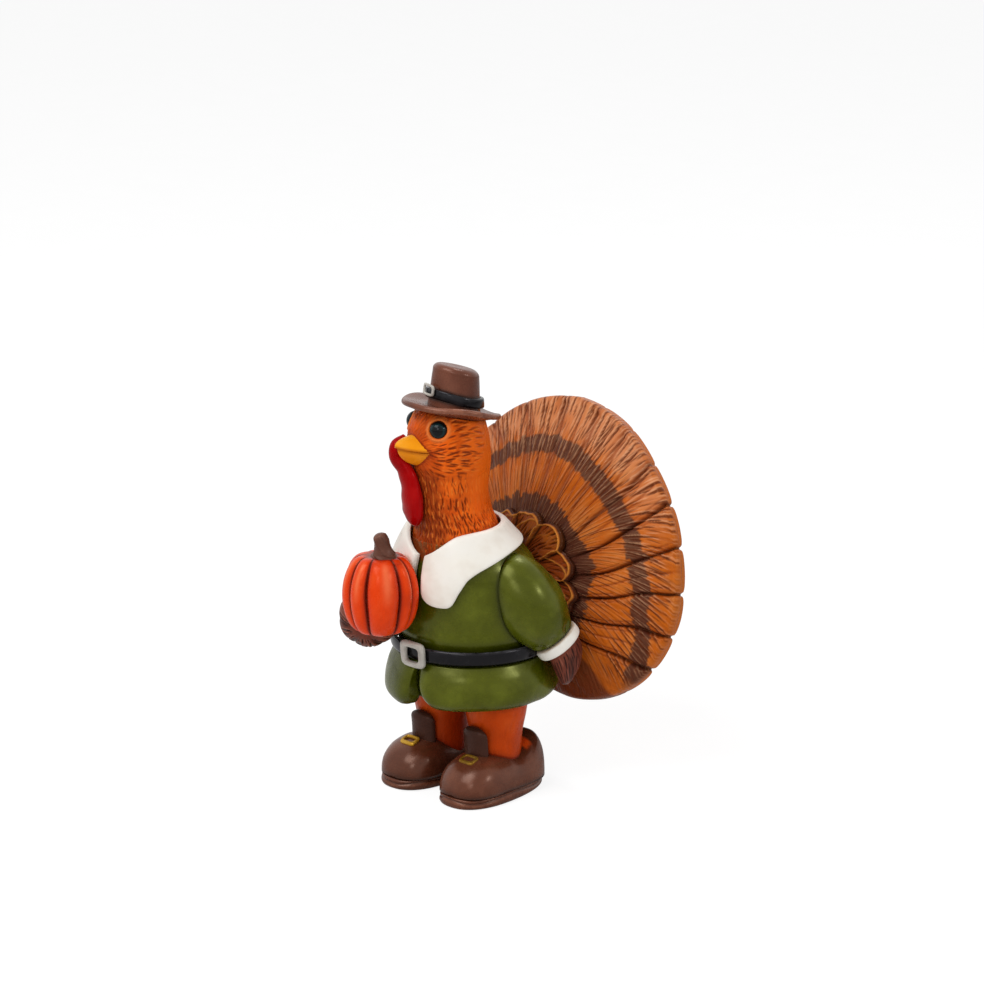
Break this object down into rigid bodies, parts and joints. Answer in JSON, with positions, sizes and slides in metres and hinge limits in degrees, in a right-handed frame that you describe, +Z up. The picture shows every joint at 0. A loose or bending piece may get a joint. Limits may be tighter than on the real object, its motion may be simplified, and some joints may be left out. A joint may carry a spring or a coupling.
{
  "type": "turkey figurine",
  "caption": "Painted resin turkey figure in settler dress, with a buckled hat, coat and shoes, holding a pumpkin in front of its fanned tail.",
  "frame": {"origin": "middle of the bounding box at the ground under the soles", "axes": "+Z up, -Y the way the figure faces, +X to the figure's left"},
  "size_m": [0.0572, 0.0512, 0.0715],
  "materials": {
    "hat": "hand-painted brown with a soft shine",
    "black": "painted black, satin",
    "silver": "painted silver, satin",
    "plumage": "orange over a red-brown wash in the carved strokes",
    "beak": "painted yellow-orange, satin",
    "snood": "painted deep red, glossy",
    "eye": "painted near-black, glossy",
    "collar": "painted cream white, satin",
    "coat": "painted olive green with darker creases, satin",
    "wing": "painted red-brown with dark lines",
    "pumpkin": "painted orange-red with dark grooves, satin",
    "stem": "painted brown",
    "leg": "painted orange",
    "shoe": "painted dark brown with a shine",
    "gold": "painted gold",
    "tail": "ochre with red-brown carved strokes and painted dark bands",
    "covert": "red-brown with light ochre rims"
  },
  "bodies": {
    "root": {"hat_brim": "hat", "hat_crown": "hat", "hat_band": "black", "hat_buckle": "silver", "head": "plumage", "eye_left": "eye", "eye_right": "eye", "beak_upper": "beak", "beak_lower": "beak", "snood": "snood", "tail_fan": "tail", "tail_coverts": "covert", "coat_body": "coat", "belt": "black", "belt_buckle": "silver", "skirt_left": "coat", "skirt_right": "coat", "collar_left": "collar", "collar_right": "collar", "pumpkin": "pumpkin", "pumpkin_stem": "stem", "sleeve_left": "coat", "cuff_left": "collar", "wing_hand_left": "wing", "wing_hand_right": "wing", "cuff_right": "collar", "sleeve_right": "coat", "leg_left": "leg", "shoe_sole_left": "shoe", "shoe_upper_left": "shoe", "shoe_tongue_left": "shoe", "shoe_buckle_left": "gold", "leg_right": "leg", "shoe_sole_right": "shoe", "shoe_upper_right": "shoe", "shoe_tongue_right": "shoe", "shoe_buckle_right": "gold"}
  },
  "joints": []
}
